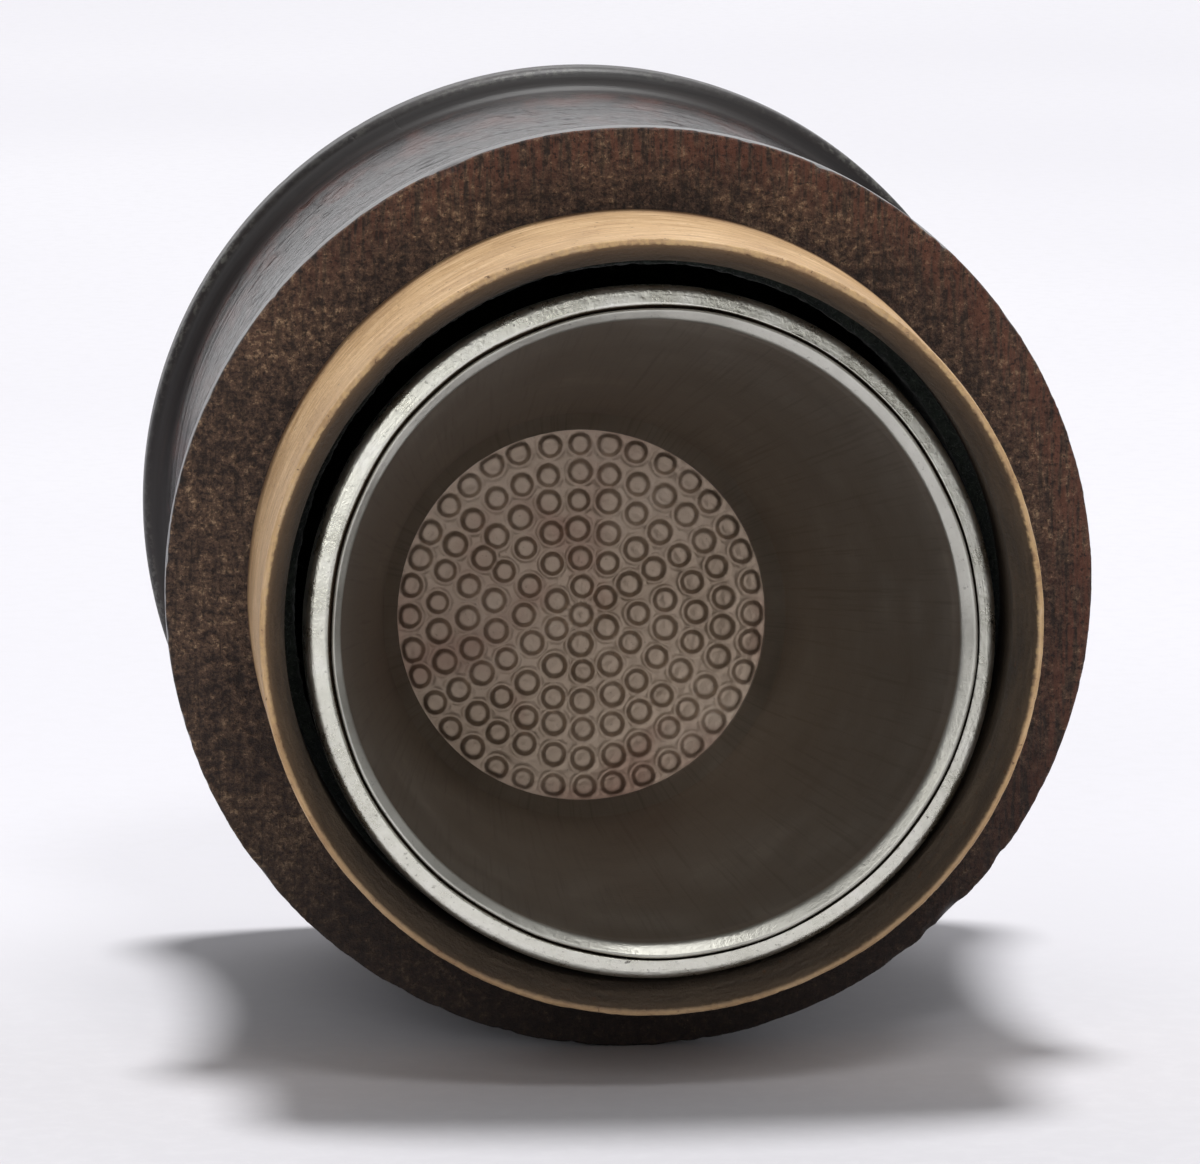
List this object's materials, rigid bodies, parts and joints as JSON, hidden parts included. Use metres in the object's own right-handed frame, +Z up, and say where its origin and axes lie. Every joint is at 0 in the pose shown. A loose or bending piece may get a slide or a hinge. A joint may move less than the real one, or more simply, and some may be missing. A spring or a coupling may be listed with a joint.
{
  "type": "thimble in open case",
  "caption": "Dimpled metal sewing thimble lying loose in its open turned-wood case, lined with felt; it slides out of the mouth to be worn on a fingertip.",
  "frame": {"origin": "centre of the footprint, on the surface the case lies on", "axes": "+Y along the case axis from the mouth towards the base, +Z up, +X to the right seen from the mouth"},
  "size_m": [0.0246, 0.0242, 0.0246],
  "materials": {
    "dark_wood": "dark lacquered outside, bare fibrous face",
    "light_wood": "bare turned wood, worn",
    "felt_lining": "dark felt",
    "felt_pad": "dark felt",
    "thimble_metal": "tarnished white metal",
    "cap_metal": "tarnished, dimpled",
    "rim_metal": "worn bright"
  },
  "bodies": {
    "case": {"case_body": "dark_wood", "spigot_sleeve": "light_wood", "bore_lining": "felt_lining", "floor_pad": "felt_pad"},
    "thimble": {"thimble_shell": "thimble_metal", "thimble_cap": "cap_metal", "thimble_rim": "rim_metal"}
  },
  "joints": [
    {"name": "thimble_slide", "type": "slide", "parent": "case", "child": "thimble", "axis": [0, -1, 0], "range_m": [0, 0.024]}
  ]
}
